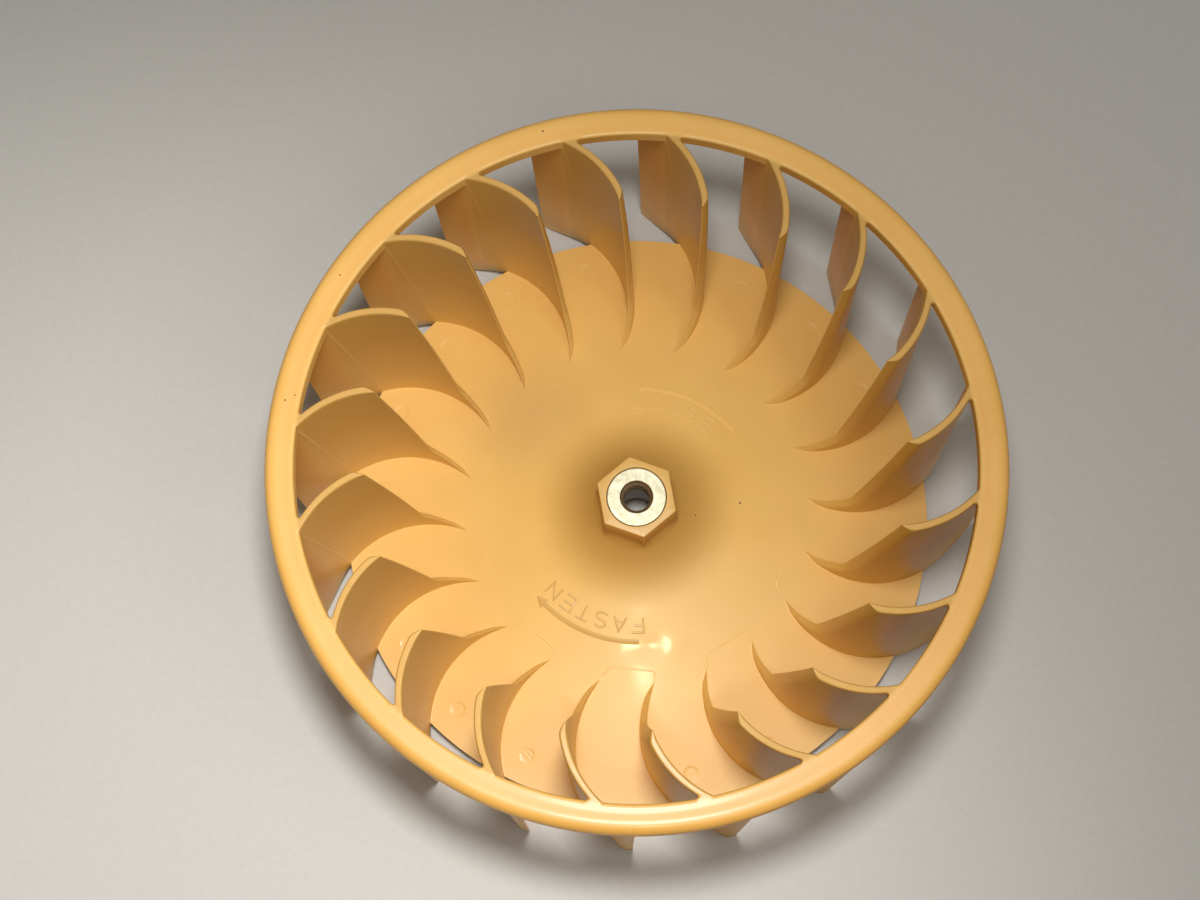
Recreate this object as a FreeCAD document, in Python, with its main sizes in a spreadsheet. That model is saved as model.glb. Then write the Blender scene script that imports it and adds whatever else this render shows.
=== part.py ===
import FreeCAD, Part
import os, math
from FreeCAD import Vector
import Sketcher

# Centrifugal blower wheel with a moulded-in threaded insert.
# Millimetres. Z is the wheel's axis. z = 0 is the plane of the blades' rear corners,
# on which the wheel lies on its back; the inlet ring is on top.

doc = FreeCAD.newDocument("blower_wheel_assembly")

# ---------------------------------------------------------------- dimensions
sheet = doc.addObject("Spreadsheet::Sheet", "dims")
DIMS = [
    # inlet ring
    ("ring_outer_radius", 104.75), ("ring_inner_radius", 96.2), ("ring_top", 90.8),
    ("ring_land", 90.5), ("ring_underside", 85.7), ("ring_crown_radius_pos", 101.4),
    ("ring_edge_round", 1.9),
    # back disc: a shallow dish that steepens towards the hub
    ("disc_radius", 91.15), ("disc_rim_top", 7.4), ("disc_thickness", 2.4),
    ("disc_mid_radius", 60.0), ("disc_mid_top", 10.6), ("flare_radius", 29.0),
    ("flare_top", 16.65), ("flare_mid_radius", 21.0), ("flare_mid_top", 19.35),
    ("hub_base_radius", 12.9), ("hub_base_top", 23.7),
    # hub
    ("hub_across_flats", 22.0), ("hub_top", 37.6), ("hub_foot", 21.0),
    ("hub_turn", 8.65), ("boss_radius", 13.0), ("boss_rear", 4.4),
    ("core_radius", 4.5), ("shaft_bore_radius", 6.45), ("seat_bottom", 27.6),
    # threaded insert
    ("insert_radius", 9.0), ("insert_length", 10.0), ("insert_neck_radius", 8.3),
    ("insert_neck_width", 2.0), ("thread_minor_radius", 4.0), ("insert_mouth_radius", 5.1),
    # blades, in plan: one arc and a straight run tangent to it on each face
    ("blade_count", 20), ("front_x", -32.4), ("front_y", 66.3), ("front_radius", 31.1),
    ("back_low_x", -29.30), ("back_low_y", 68.475), ("back_low_radius", 29.945),
    ("back_top_x", -31.52), ("back_top_y", 66.69), ("back_top_radius", 32.2),
    ("tail_angle", -29.0), ("bend_angle", 62.7), ("blade_run", 15.0),
    # blades, in side view
    ("tip_radius", 76.5), ("knee_radius", 66.1), ("knee_height", 22.9),
    ("tail_radius", 52.7), ("tail_height", 11.9), ("outer_low_radius", 103.4),
    ("outer_top_radius", 104.5), ("top_edge", 0.45),
    # the cut that thins the blades to a nose along their leading edge: a line in plan,
    # from inside the nose to outside the back face, at three heights
    ("nose_mid_height", 34.9), ("nose_top_height", 90.9), ("nose_reach", 4.0),
    ("nose_knee_in_x", 0.637), ("nose_knee_in_y", 63.597), ("nose_knee_out_x", 0.654), ("nose_knee_out_y", 70.397),
    ("nose_mid_in_x", -1.897), ("nose_mid_in_y", 65.604), ("nose_mid_out_x", 0.63), ("nose_mid_out_y", 72.205),
    ("nose_top_in_x", -2.889), ("nose_top_in_y", 74.026), ("nose_top_out_x", -2.251), ("nose_top_out_y", 80.826),
]
for row, (name, value) in enumerate(DIMS, start=1):
    sheet.set("A%d" % row, name)
    sheet.set("B%d" % row, str(value))
    sheet.setAlias("B%d" % row, name)
doc.recompute()
D = {name: value for name, value in DIMS}


def plane_of(body, role):
    for feature in body.Origin.OriginFeatures:
        if feature.Role == role:
            return feature
    raise RuntimeError("no plane " + role)


def sketch_on(body, role, name):
    sk = body.newObject("Sketcher::SketchObject", name)
    sk.AttachmentSupport = [(plane_of(body, role), "")]
    sk.MapMode = "FlatFace"
    return sk


def outline(sk, points, binds):
    """Closed outline of straight edges and three-point arcs through named points.
    points: list of (x, y) or ("arc", (x, y)) for a point that an arc passes through.
    binds: {index of a corner: (expression for x, expression for y)}"""
    corners = [p for p in points if p[0] != "arc"]
    corner_edge = []
    n = len(points)
    i = 0
    while i < n:
        a = points[i]
        b = points[(i + 1) % n]
        if b[0] == "arc":
            c = points[(i + 2) % n]
            p, q, r = Vector(a[0], a[1], 0), Vector(b[1][0], b[1][1], 0), Vector(c[0], c[1], 0)
            turn = (q - p).cross(r - q).z
            if turn < 0.0:
                p, r = r, p
            round_edge = Part.Circle(p, q, r)
            ctr, rad = round_edge.Center, round_edge.Radius
            a0 = math.atan2(p.y - ctr.y, p.x - ctr.x)
            a1 = math.atan2(r.y - ctr.y, r.x - ctr.x)
            if a1 < a0:
                a1 += 2.0 * math.pi
            g = sk.addGeometry(Part.ArcOfCircle(Part.Circle(ctr, Vector(0, 0, 1), rad), a0, a1), False)
            corner_edge.append((g, 1, 2) if turn > 0.0 else (g, 2, 1))
            i += 2
        else:
            g = sk.addGeometry(Part.LineSegment(Vector(a[0], a[1], 0), Vector(b[0], b[1], 0)), False)
            corner_edge.append((g, 1, 2))
            i += 1
    m = len(corner_edge)
    for j in range(m):
        g, s, e = corner_edge[j]
        g2, s2, e2 = corner_edge[(j + 1) % m]
        sk.addConstraint(Sketcher.Constraint("Coincident", g, e, g2, s2))
    for j, (ex, ey) in binds.items():
        g, s, e = corner_edge[j]
        x, y = corners[j]
        if abs(x) < 1e-9:
            sk.addConstraint(Sketcher.Constraint("PointOnObject", g, s, -2))
        else:
            c = sk.addConstraint(Sketcher.Constraint("DistanceX", -1, 1, g, s, x))
            if ex:
                sk.setExpression("Constraints[%d]" % c, ex)
        if abs(y) < 1e-9:
            sk.addConstraint(Sketcher.Constraint("PointOnObject", g, s, -1))
        else:
            c = sk.addConstraint(Sketcher.Constraint("DistanceY", -1, 1, g, s, y))
            if ey:
                sk.setExpression("Constraints[%d]" % c, ey)
    return corner_edge


# ---------------------------------------------------------------- blower wheel
wheel = doc.addObject("PartDesign::Body", "blower_wheel")
wheel.Label = "blower_wheel"
wheel.AllowCompound = True


def blade_plan(name, low, height, height_cell, inset=0.0, inset_cell=None):
    """Plan of one blade: front (hollow) face, outer end, back (bulging) face, tail end."""
    sk = sketch_on(wheel, "XY_Plane", name)
    pre = "back_low" if low else "back_top"
    a0, a1 = math.radians(D["tail_angle"]), math.radians(D["bend_angle"])
    run = D["blade_run"]
    fc = Vector(D["front_x"], D["front_y"], 0)
    bc = Vector(D[pre + "_x"], D[pre + "_y"], 0)
    fr, br = D["front_radius"] + inset, D[pre + "_radius"] - inset
    way = Vector(-math.sin(a1), math.cos(a1), 0)
    at = lambda c, r, a: c + Vector(r * math.cos(a), r * math.sin(a), 0)
    g_front = sk.addGeometry(Part.ArcOfCircle(Part.Circle(fc, Vector(0, 0, 1), fr), a0, a1), False)
    f_end = at(fc, fr, a1)
    g_fline = sk.addGeometry(Part.LineSegment(f_end, f_end + way * run), False)
    b_end = at(bc, br, a1)
    g_end = sk.addGeometry(Part.LineSegment(f_end + way * run, b_end + way * run), False)
    g_bline = sk.addGeometry(Part.LineSegment(b_end + way * run, b_end), False)
    g_back = sk.addGeometry(Part.ArcOfCircle(Part.Circle(bc, Vector(0, 0, 1), br), a0, a1), False)
    g_tail = sk.addGeometry(Part.LineSegment(at(bc, br, a0), at(fc, fr, a0)), False)
    add = lambda *a: sk.addConstraint(Sketcher.Constraint(*a))
    add("Coincident", g_fline, 2, g_end, 1)
    add("Coincident", g_end, 2, g_bline, 1)
    add("Coincident", g_tail, 2, g_front, 1)
    add("Coincident", g_back, 1, g_tail, 1)
    add("Tangent", g_front, 2, g_fline, 1)
    add("Tangent", g_back, 2, g_bline, 2)
    for g, x, y, r, rad, sign in ((g_front, "front_x", "front_y", "front_radius", fr, " + "),
                                  (g_back, pre + "_x", pre + "_y", pre + "_radius", br, " - ")):
        c = add("DistanceX", -1, 1, g, 3, D[x])
        sk.setExpression("Constraints[%d]" % c, "dims." + x)
        c = add("DistanceY", -1, 1, g, 3, D[y])
        sk.setExpression("Constraints[%d]" % c, "dims." + y)
        c = add("Radius", g, rad)
        sk.setExpression("Constraints[%d]" % c, "dims." + r + (sign + "dims." + inset_cell if inset_cell else ""))
    if height_cell:
        sk.AttachmentOffset = FreeCAD.Placement(Vector(0, 0, height), FreeCAD.Rotation())
        sk.setExpression("AttachmentOffset.Base.z", height_cell)
    return sk


plan_low = blade_plan("blade_plan_low", True, 0.0, None)
plan_top = blade_plan("blade_plan_top", False, D["ring_land"] - D["top_edge"], "dims.ring_land - dims.top_edge")
plan_crown = blade_plan("blade_plan_crown", False, D["ring_land"], "dims.ring_land", D["top_edge"], "top_edge")
doc.recompute()
blade = wheel.newObject("PartDesign::AdditiveLoft", "blade")
blade.Profile = plan_low
blade.Sections = [plan_top, plan_crown]
blade.Ruled = True
doc.recompute()

# The leading edge narrows to a nose: a slanting cut in the back face, deeper from the knee up.
nose_sketches = []
for level, height in (("knee", "knee_height"), ("mid", "nose_mid_height"), ("top", "nose_top_height")):
    sk = sketch_on(wheel, "XY_Plane", "nose_" + level)
    at = lambda end: (D["nose_%s_%s_x" % (level, end)], D["nose_%s_%s_y" % (level, end)])
    cell = lambda end, axis: "dims.nose_%s_%s_%s" % (level, end, axis)
    reach = D["nose_reach"]
    outline(sk, [at("in"), at("out"), (at("out")[0] + reach, at("out")[1]), (at("in")[0] + reach, at("in")[1])],
            {0: (cell("in", "x"), cell("in", "y")), 1: (cell("out", "x"), cell("out", "y")),
             2: (cell("out", "x") + " + dims.nose_reach", cell("out", "y")),
             3: (cell("in", "x") + " + dims.nose_reach", cell("in", "y"))})
    sk.AttachmentOffset = FreeCAD.Placement(Vector(0, 0, D[height]), FreeCAD.Rotation())
    sk.setExpression("AttachmentOffset.Base.z", "dims." + height)
    nose_sketches.append(sk)
doc.recompute()
before = wheel.Shape.Volume
nose = wheel.newObject("PartDesign::SubtractiveLoft", "blade_nose")
nose.Profile = nose_sketches[0]
nose.Sections = nose_sketches[1:]
nose.Ruled = True
wheel.Tip = nose
doc.recompute()
print("one blade before nose", round(before), "after", round(wheel.Shape.Volume))
blades = wheel.newObject("PartDesign::PolarPattern", "blades")
blades.Originals = [blade, nose]
blades.Axis = (plane_of(wheel, "Z_Axis"), [""])
blades.Angle = 360.0
blades.Occurrences = 20
blades.setExpression("Occurrences", "dims.blade_count")
wheel.Tip = blades
doc.recompute()

# Side-view trim of the blades: the leaning leading edge with its low tail above,
# the sloping rear edge and the drafted outer edge below and outside.
trim = sketch_on(wheel, "XZ_Plane", "blade_trim_outline")
slope = (D["tip_radius"] - D["knee_radius"]) / (D["ring_land"] - D["knee_height"])
over = D["ring_land"] + 8.0
outline(trim, [(D["tail_radius"] - 6.0, over), (D["tip_radius"] + slope * 8.0, over),
               (D["knee_radius"], D["knee_height"]),
               ("arc", (59.6, 15.1)),
               (D["tail_radius"], D["tail_height"]),
               (D["tail_radius"] - 6.0, D["tail_height"])],
        {0: (None, None), 1: (None, None),
         2: ("dims.knee_radius", "dims.knee_height"),
         3: ("dims.tail_radius", "dims.tail_height"), 4: (None, "dims.tail_height")})
outline(trim, [(D["tail_radius"] - 6.0, -6.0), (118.0, -6.0), (118.0, over),
               (D["ring_inner_radius"] + 2.0, over),
               (D["ring_inner_radius"] + 2.0, D["ring_underside"] + 2.3),
               (D["outer_top_radius"], D["ring_underside"] + 2.3),
               (D["outer_top_radius"], D["ring_underside"]),
               (D["outer_low_radius"], 0.0),
               (D["disc_radius"], 5.0), (D["disc_radius"] - 0.8, 6.2),
               (D["disc_mid_radius"], 9.3), (D["tail_radius"] - 6.0, 11.2)],
        {0: (None, None), 1: (None, None), 2: (None, None),
         3: ("dims.ring_inner_radius + 2", None),
         4: ("dims.ring_inner_radius + 2", "dims.ring_underside + 2.3"),
         5: ("dims.outer_top_radius", "dims.ring_underside + 2.3"),
         6: ("dims.outer_top_radius", "dims.ring_underside"),
         7: ("dims.outer_low_radius", None),
         8: ("dims.disc_radius", None), 9: (None, None), 10: ("dims.disc_mid_radius", None),
         11: (None, None)})
doc.recompute()
before = wheel.Shape.Volume
cut = wheel.newObject("PartDesign::Groove", "blade_trim")
cut.Profile = trim
cut.ReferenceAxis = (plane_of(wheel, "Z_Axis"), [""])
cut.Angle = 360.0
wheel.Tip = cut
doc.recompute()
print("blades before trim", round(before), "after", round(wheel.Shape.Volume))

# Back disc and rear boss, turned in one outline.
disc = sketch_on(wheel, "XZ_Plane", "disc_outline")
t = D["disc_thickness"]
outline(disc, [(D["core_radius"], D["boss_rear"]), (D["boss_radius"], D["boss_rear"]),
               (D["boss_radius"] + 0.6, 18.6),
               (18.5, 17.9), ("arc", (23.5, 15.9)), (D["flare_radius"], D["flare_top"] - t),
               ("arc", (D["disc_mid_radius"], D["disc_mid_top"] - t)),
               (D["disc_radius"], D["disc_rim_top"] - t),
               (D["disc_radius"], D["disc_rim_top"]),
               ("arc", (D["disc_mid_radius"], D["disc_mid_top"])),
               (D["flare_radius"], D["flare_top"]),
               ("arc", (D["flare_mid_radius"], D["flare_mid_top"])),
               (D["hub_base_radius"], D["hub_base_top"]),
               (D["core_radius"], D["hub_base_top"])],
        {0: ("dims.core_radius", "dims.boss_rear"), 1: ("dims.boss_radius", "dims.boss_rear"),
         2: ("dims.boss_radius + 0.6", None), 3: (None, None),
         4: ("dims.flare_radius", "dims.flare_top - dims.disc_thickness"),
         5: ("dims.disc_radius", "dims.disc_rim_top - dims.disc_thickness"),
         6: ("dims.disc_radius", "dims.disc_rim_top"),
         7: ("dims.flare_radius", "dims.flare_top"),
         8: ("dims.hub_base_radius", "dims.hub_base_top"),
         9: ("dims.core_radius", "dims.hub_base_top")})
doc.recompute()
turned = wheel.newObject("PartDesign::Revolution", "disc")
turned.Profile = disc
turned.ReferenceAxis = (plane_of(wheel, "Z_Axis"), [""])
turned.Angle = 360.0
wheel.Tip = turned
doc.recompute()

# Inlet ring: a flat inner land, a low crown and a well-rounded outer corner.
ring = sketch_on(wheel, "XZ_Plane", "ring_outline")
ro, ri = D["ring_outer_radius"], D["ring_inner_radius"]
rr = D["ring_edge_round"]
k = rr * (1.0 - math.sqrt(0.5))
outline(ring, [(ri, D["ring_underside"]), (ro - 0.8, D["ring_underside"]),
               ("arc", (ro - 0.8 * (1.0 - math.sqrt(0.5)), D["ring_underside"] + 0.8 * (1.0 - math.sqrt(0.5)))),
               (ro, D["ring_underside"] + 0.8),
               (ro, D["ring_land"] - rr),
               ("arc", (ro - k, D["ring_land"] - k)),
               (ro - rr, D["ring_land"]),
               ("arc", (D["ring_crown_radius_pos"], D["ring_top"])),
               (ri + 3.1, D["ring_land"]),
               (ri, D["ring_land"])],
        {0: ("dims.ring_inner_radius", "dims.ring_underside"),
         1: ("dims.ring_outer_radius - 0.8", "dims.ring_underside"),
         2: ("dims.ring_outer_radius", "dims.ring_underside + 0.8"),
         3: ("dims.ring_outer_radius", "dims.ring_land - dims.ring_edge_round"),
         4: ("dims.ring_outer_radius - dims.ring_edge_round", "dims.ring_land"),
         5: ("dims.ring_inner_radius + 3.1", "dims.ring_land"),
         6: ("dims.ring_inner_radius", "dims.ring_land")})
doc.recompute()
hoop = wheel.newObject("PartDesign::Revolution", "inlet_ring")
hoop.Profile = ring
hoop.ReferenceAxis = (plane_of(wheel, "Z_Axis"), [""])
hoop.Angle = 360.0
wheel.Tip = hoop
doc.recompute()

# Six-sided hub.
hexa = sketch_on(wheel, "XY_Plane", "hub_outline")
corner = D["hub_across_flats"] / 2.0 / math.cos(math.radians(30.0))
pts = []
for i in range(6):
    a = math.radians(90.0 + D["hub_turn"] + 60.0 * i)
    pts.append(Vector(corner * math.cos(a), corner * math.sin(a), 0))
lines = [hexa.addGeometry(Part.LineSegment(pts[i], pts[(i + 1) % 6]), False) for i in range(6)]
circle = hexa.addGeometry(Part.Circle(Vector(0, 0, 0), Vector(0, 0, 1), corner), True)
core = hexa.addGeometry(Part.Circle(Vector(0, 0, 0), Vector(0, 0, 1), D["core_radius"]), False)
for i in range(6):
    hexa.addConstraint(Sketcher.Constraint("Coincident", lines[i], 2, lines[(i + 1) % 6], 1))
    hexa.addConstraint(Sketcher.Constraint("PointOnObject", lines[i], 1, circle))
for i in range(5):
    hexa.addConstraint(Sketcher.Constraint("Equal", lines[i], lines[i + 1]))
hexa.addConstraint(Sketcher.Constraint("Coincident", circle, 3, -1, 1))
hexa.addConstraint(Sketcher.Constraint("Coincident", core, 3, -1, 1))
c = hexa.addConstraint(Sketcher.Constraint("Radius", core, D["core_radius"]))
hexa.setExpression("Constraints[%d]" % c, "dims.core_radius")
c = hexa.addConstraint(Sketcher.Constraint("Radius", circle, corner))
hexa.setExpression("Constraints[%d]" % c, "dims.hub_across_flats / 2 / cos(30 deg)")
c = hexa.addConstraint(Sketcher.Constraint("DistanceX", -1, 1, lines[0], 1, pts[0].x))
hexa.setExpression("Constraints[%d]" % c,
                   "-dims.hub_across_flats / 2 / cos(30 deg) * sin(dims.hub_turn * 1 deg)")
hexa.AttachmentOffset = FreeCAD.Placement(Vector(0, 0, D["hub_foot"]), FreeCAD.Rotation())
hexa.setExpression("AttachmentOffset.Base.z", "dims.hub_foot")
doc.recompute()
hub = wheel.newObject("PartDesign::Pad", "hex_hub")
hub.Profile = hexa
hub.Length = D["hub_top"] - D["hub_foot"]
hub.setExpression("Length", "dims.hub_top - dims.hub_foot")
wheel.Tip = hub
doc.recompute()

# Bore of the hub: clear bore for the shaft from behind, then the seat moulded round
# the insert, with the ridge that fills the insert's neck.
bore = sketch_on(wheel, "XZ_Plane", "hub_bore_outline")
neck_low = D["seat_bottom"] + (D["insert_length"] - D["insert_neck_width"]) / 2.0
neck_high = neck_low + D["insert_neck_width"]
outline(bore, [(D["core_radius"] - 1.0, -2.0), (D["shaft_bore_radius"] + 0.9, -2.0),
               (D["shaft_bore_radius"] + 0.9, D["boss_rear"]),
               (D["shaft_bore_radius"], D["boss_rear"] + 0.9),
               (D["shaft_bore_radius"], D["seat_bottom"]),
               (D["insert_radius"], D["seat_bottom"]),
               (D["insert_radius"], neck_low), (D["insert_neck_radius"], neck_low),
               (D["insert_neck_radius"], neck_high), (D["insert_radius"], neck_high),
               (D["insert_radius"], D["hub_top"] + 3.0),
               (D["core_radius"] - 1.0, D["hub_top"] + 3.0)],
        {0: ("dims.core_radius - 1", None), 1: ("dims.shaft_bore_radius + 0.9", None),
         2: ("dims.shaft_bore_radius + 0.9", "dims.boss_rear"),
         3: ("dims.shaft_bore_radius", "dims.boss_rear + 0.9"),
         4: ("dims.shaft_bore_radius", "dims.seat_bottom"),
         5: ("dims.insert_radius", "dims.seat_bottom"),
         6: ("dims.insert_radius", "dims.seat_bottom + (dims.insert_length - dims.insert_neck_width) / 2"),
         7: ("dims.insert_neck_radius", "dims.seat_bottom + (dims.insert_length - dims.insert_neck_width) / 2"),
         8: ("dims.insert_neck_radius", "dims.seat_bottom + (dims.insert_length + dims.insert_neck_width) / 2"),
         9: ("dims.insert_radius", "dims.seat_bottom + (dims.insert_length + dims.insert_neck_width) / 2"),
         10: ("dims.insert_radius", "dims.hub_top + 3"), 11: ("dims.core_radius - 1", "dims.hub_top + 3")})
doc.recompute()
before = wheel.Shape.Volume
hole = wheel.newObject("PartDesign::Groove", "hub_bore")
hole.Profile = bore
hole.ReferenceAxis = (plane_of(wheel, "Z_Axis"), [""])
hole.Angle = 360.0
wheel.Tip = hole
doc.recompute()
print("wheel before bore", round(before), "after", round(wheel.Shape.Volume))

# ---------------------------------------------------------------- threaded insert
insert = doc.addObject("PartDesign::Body", "threaded_insert")
insert.Label = "threaded_insert"
sleeve = sketch_on(insert, "XZ_Plane", "insert_outline")
L, w = D["insert_length"], D["insert_neck_width"]
lead = D["insert_mouth_radius"] - D["thread_minor_radius"]
outline(sleeve, [(D["insert_mouth_radius"], 0.0001), (D["insert_radius"], 0.0001),
                 (D["insert_radius"], (L - w) / 2.0), (D["insert_neck_radius"], (L - w) / 2.0),
                 (D["insert_neck_radius"], (L + w) / 2.0), (D["insert_radius"], (L + w) / 2.0),
                 (D["insert_radius"], L), (D["insert_mouth_radius"], L),
                 (D["thread_minor_radius"], L - lead), (D["thread_minor_radius"], lead)],
        {0: ("dims.insert_mouth_radius", None), 1: ("dims.insert_radius", None),
         2: ("dims.insert_radius", "(dims.insert_length - dims.insert_neck_width) / 2"),
         3: ("dims.insert_neck_radius", "(dims.insert_length - dims.insert_neck_width) / 2"),
         4: ("dims.insert_neck_radius", "(dims.insert_length + dims.insert_neck_width) / 2"),
         5: ("dims.insert_radius", "(dims.insert_length + dims.insert_neck_width) / 2"),
         6: ("dims.insert_radius", "dims.insert_length"),
         7: ("dims.insert_mouth_radius", "dims.insert_length"),
         8: ("dims.thread_minor_radius", "dims.insert_length - dims.insert_mouth_radius + dims.thread_minor_radius"),
         9: ("dims.thread_minor_radius", "dims.insert_mouth_radius - dims.thread_minor_radius")})
doc.recompute()
turned_insert = insert.newObject("PartDesign::Revolution", "insert_turned")
turned_insert.Profile = sleeve
turned_insert.ReferenceAxis = (plane_of(insert, "Z_Axis"), [""])
turned_insert.Angle = 360.0
insert.Tip = turned_insert
insert.Placement = FreeCAD.Placement(Vector(0, 0, D["seat_bottom"]), FreeCAD.Rotation())
insert.setExpression("Placement.Base.z", "dims.seat_bottom")
doc.recompute()

# ---------------------------------------------------------------- check and write
for obj in doc.Objects:
    state = [s for s in obj.State if s in ("Invalid", "Error")]
    if state:
        raise RuntimeError("%s is %s" % (obj.Name, state))
os.makedirs("parts", exist_ok=True)
for sub in (wheel, insert):
    shape = sub.Shape
    if shape.isNull() or not shape.isValid():
        raise RuntimeError(sub.Label + " has no valid shape")
    print(sub.Label, "solids", len(shape.Solids), "volume", round(shape.Volume),
          "box", [round(v, 2) for v in (shape.BoundBox.XMin, shape.BoundBox.XMax, shape.BoundBox.YMin,
                                         shape.BoundBox.YMax, shape.BoundBox.ZMin, shape.BoundBox.ZMax)])
for sub in (wheel, insert):
    sub.Shape.exportStep(os.path.join("parts", sub.Label + ".step"))
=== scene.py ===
import math
import random

import bmesh
import bpy
import numpy as np
from mathutils import Matrix, Vector


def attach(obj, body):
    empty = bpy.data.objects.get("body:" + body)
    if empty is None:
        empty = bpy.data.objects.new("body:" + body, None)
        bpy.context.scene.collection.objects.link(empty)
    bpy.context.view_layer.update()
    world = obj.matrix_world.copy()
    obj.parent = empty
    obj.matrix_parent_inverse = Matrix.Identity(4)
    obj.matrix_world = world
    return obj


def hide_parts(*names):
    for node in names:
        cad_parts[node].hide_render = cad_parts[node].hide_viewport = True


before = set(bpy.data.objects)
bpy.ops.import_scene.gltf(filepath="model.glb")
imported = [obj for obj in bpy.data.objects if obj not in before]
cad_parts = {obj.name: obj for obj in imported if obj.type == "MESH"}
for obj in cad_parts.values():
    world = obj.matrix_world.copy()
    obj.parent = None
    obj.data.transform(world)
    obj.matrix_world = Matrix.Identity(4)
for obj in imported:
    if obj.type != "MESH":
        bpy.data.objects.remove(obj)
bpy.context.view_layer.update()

MM = 0.001
SECTORS = 20
STEP = 360.0 / SECTORS

# ------------------------------------------------------------------ the wheel's form
# Millimetres, angles in degrees clockwise from +Y seen from the inlet side.
FRONT_C, FRONT_R = np.array([-32.4, 66.3]), 31.1
BACK_LOW_C, BACK_LOW_R = np.array([-29.30, 68.475]), 29.945
BACK_TOP_C, BACK_TOP_R = np.array([-31.52, 66.69]), 32.2
BEND = math.radians(62.7)
LAND = 90.5
UNDER = 85.7
R_RIM = 91.15
R_IN = 96.2
R_OUT = 104.72
R_TAIL, TH_TAIL = 52.7, -4.65
R_KNEE, Z_KNEE = 66.1, 22.9
R_TIP = 76.5
FOOT = 0.28
EDGE = 1.1


def disc_top(r):
    """Height of the disc's upper face."""
    if r >= 29.0:
        return 7.4 + 0.0554 * (91.15 - r) + 0.0015 * (91.15 - r) ** 2
    return flare(r)


def circle_through(p, q, s):
    ax, ay, bx, by, cx, cy = *p, *q, *s
    d = 2 * (ax * (by - cy) + bx * (cy - ay) + cx * (ay - by))
    ux = ((ax * ax + ay * ay) * (by - cy) + (bx * bx + by * by) * (cy - ay) + (cx * cx + cy * cy) * (ay - by)) / d
    uy = ((ax * ax + ay * ay) * (cx - bx) + (bx * bx + by * by) * (ax - cx) + (cx * cx + cy * cy) * (bx - ax)) / d
    return ux, uy, math.hypot(ax - ux, ay - uy)


FLARE = circle_through((29.0, 16.65), (21.0, 19.35), (12.9, 23.7))


def flare(r):
    ux, uy, rad = FLARE
    return uy - math.sqrt(rad * rad - (r - ux) ** 2) if uy > 16.65 else uy + math.sqrt(rad * rad - (r - ux) ** 2)


def crossing(c, rad, r):
    """Clockwise angle where a face's plan line (an arc and a straight run tangent to it) is r from the axis."""
    way = np.array([-math.sin(BEND), math.cos(BEND)])
    e = c + rad * np.array([math.cos(BEND), math.sin(BEND)])
    if r > math.hypot(*e):
        b = float(e @ way)
        p = e + way * (-b + math.sqrt(b * b - float(e @ e) + r * r))
    else:
        d = math.hypot(*c)
        a = (r * r - rad * rad + d * d) / (2 * d)
        h = math.sqrt(max(0.0, r * r - a * a))
        u = c / d
        n = np.array([-u[1], u[0]])
        p = max((a * u + h * n, a * u - h * n), key=lambda q: q[0])
    return math.degrees(math.atan2(p[0], p[1]))


def blade_top(r):
    if r >= R_TIP:
        return LAND
    if r >= R_KNEE:
        return Z_KNEE + (LAND - Z_KNEE) * (r - R_KNEE) / (R_TIP - R_KNEE)
    t = max(0.0, (r - R_TAIL) / (R_KNEE - R_TAIL))
    return disc_top(r) + (Z_KNEE - disc_top(R_KNEE)) * t ** 1.6


TAIL_R = np.linspace(R_TAIL, R_KNEE, 120)
TAIL_Z = np.maximum.accumulate([blade_top(r) for r in TAIL_R])


def lead(z):
    """Radius of the blade's inner edge at height z: the tail's rising line, then the straight leading edge."""
    if z < Z_KNEE:
        return float(np.interp(z, TAIL_Z, TAIL_R))
    return R_KNEE + (z - Z_KNEE) * (R_TIP - R_KNEE) / (LAND - Z_KNEE)


def front(r):
    th = crossing(FRONT_C, FRONT_R, r)
    if r < 58.0:
        t = max(0.0, (r - R_TAIL) / (58.0 - R_TAIL))
        w = (1 - t) ** 2
        th = th + w * (TH_TAIL - crossing(FRONT_C, FRONT_R, R_TAIL))
    return th


def back(r, z):
    """Back (bulging) face, thinned to a keen nose along the leading edge and to a point at the tail."""
    t = min(1.0, max(0.0, z / LAND))
    c, rad = BACK_LOW_C * (1 - t) + BACK_TOP_C * t, BACK_LOW_R * (1 - t) + BACK_TOP_R * t
    th = crossing(c, rad, r)
    f = crossing(FRONT_C, FRONT_R, r)
    gap = (th - f) * (1.0 + 0.09 * min(1.0, max(0.0, (z - 40.0) / 45.0)))
    k = min(1.0, max(0.0, r - lead(z)) / 3.7)
    k = 1.0 - (1.0 - k) ** 1.35
    gap *= 0.12 + 0.88 * k
    if r < 58.0:
        u = max(0.0, (r - R_TAIL) / (58.0 - R_TAIL))
        gap *= 1.0 - (1.0 - u) ** 1.6
    if r > R_IN - 1.6 and z > UNDER:
        y = max(0.0, R_IN - r)
        web = max(0.0, 1.6 - math.sqrt(max(0.0, 0.3025 - (y - 0.55) ** 2)) - 1.28 * y) if r <= R_IN else 1.6
        fade = min(1.0, (z - UNDER) / 2.2)
        gap += math.degrees(web / r) * fade * fade * (3 - 2 * fade)
    return front(r) + gap


def across(fn, r):
    """Arc length along a circle for one unit straight across the face."""
    h = 0.05
    lo, hi = max(R_TAIL, r - h), r + h
    slope = math.radians(fn(hi) - fn(lo)) / (hi - lo)
    return math.hypot(1.0, r * slope)


def xyz(r, th, z):
    a = math.radians(th)
    return (r * math.sin(a), r * math.cos(a), z)


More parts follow.
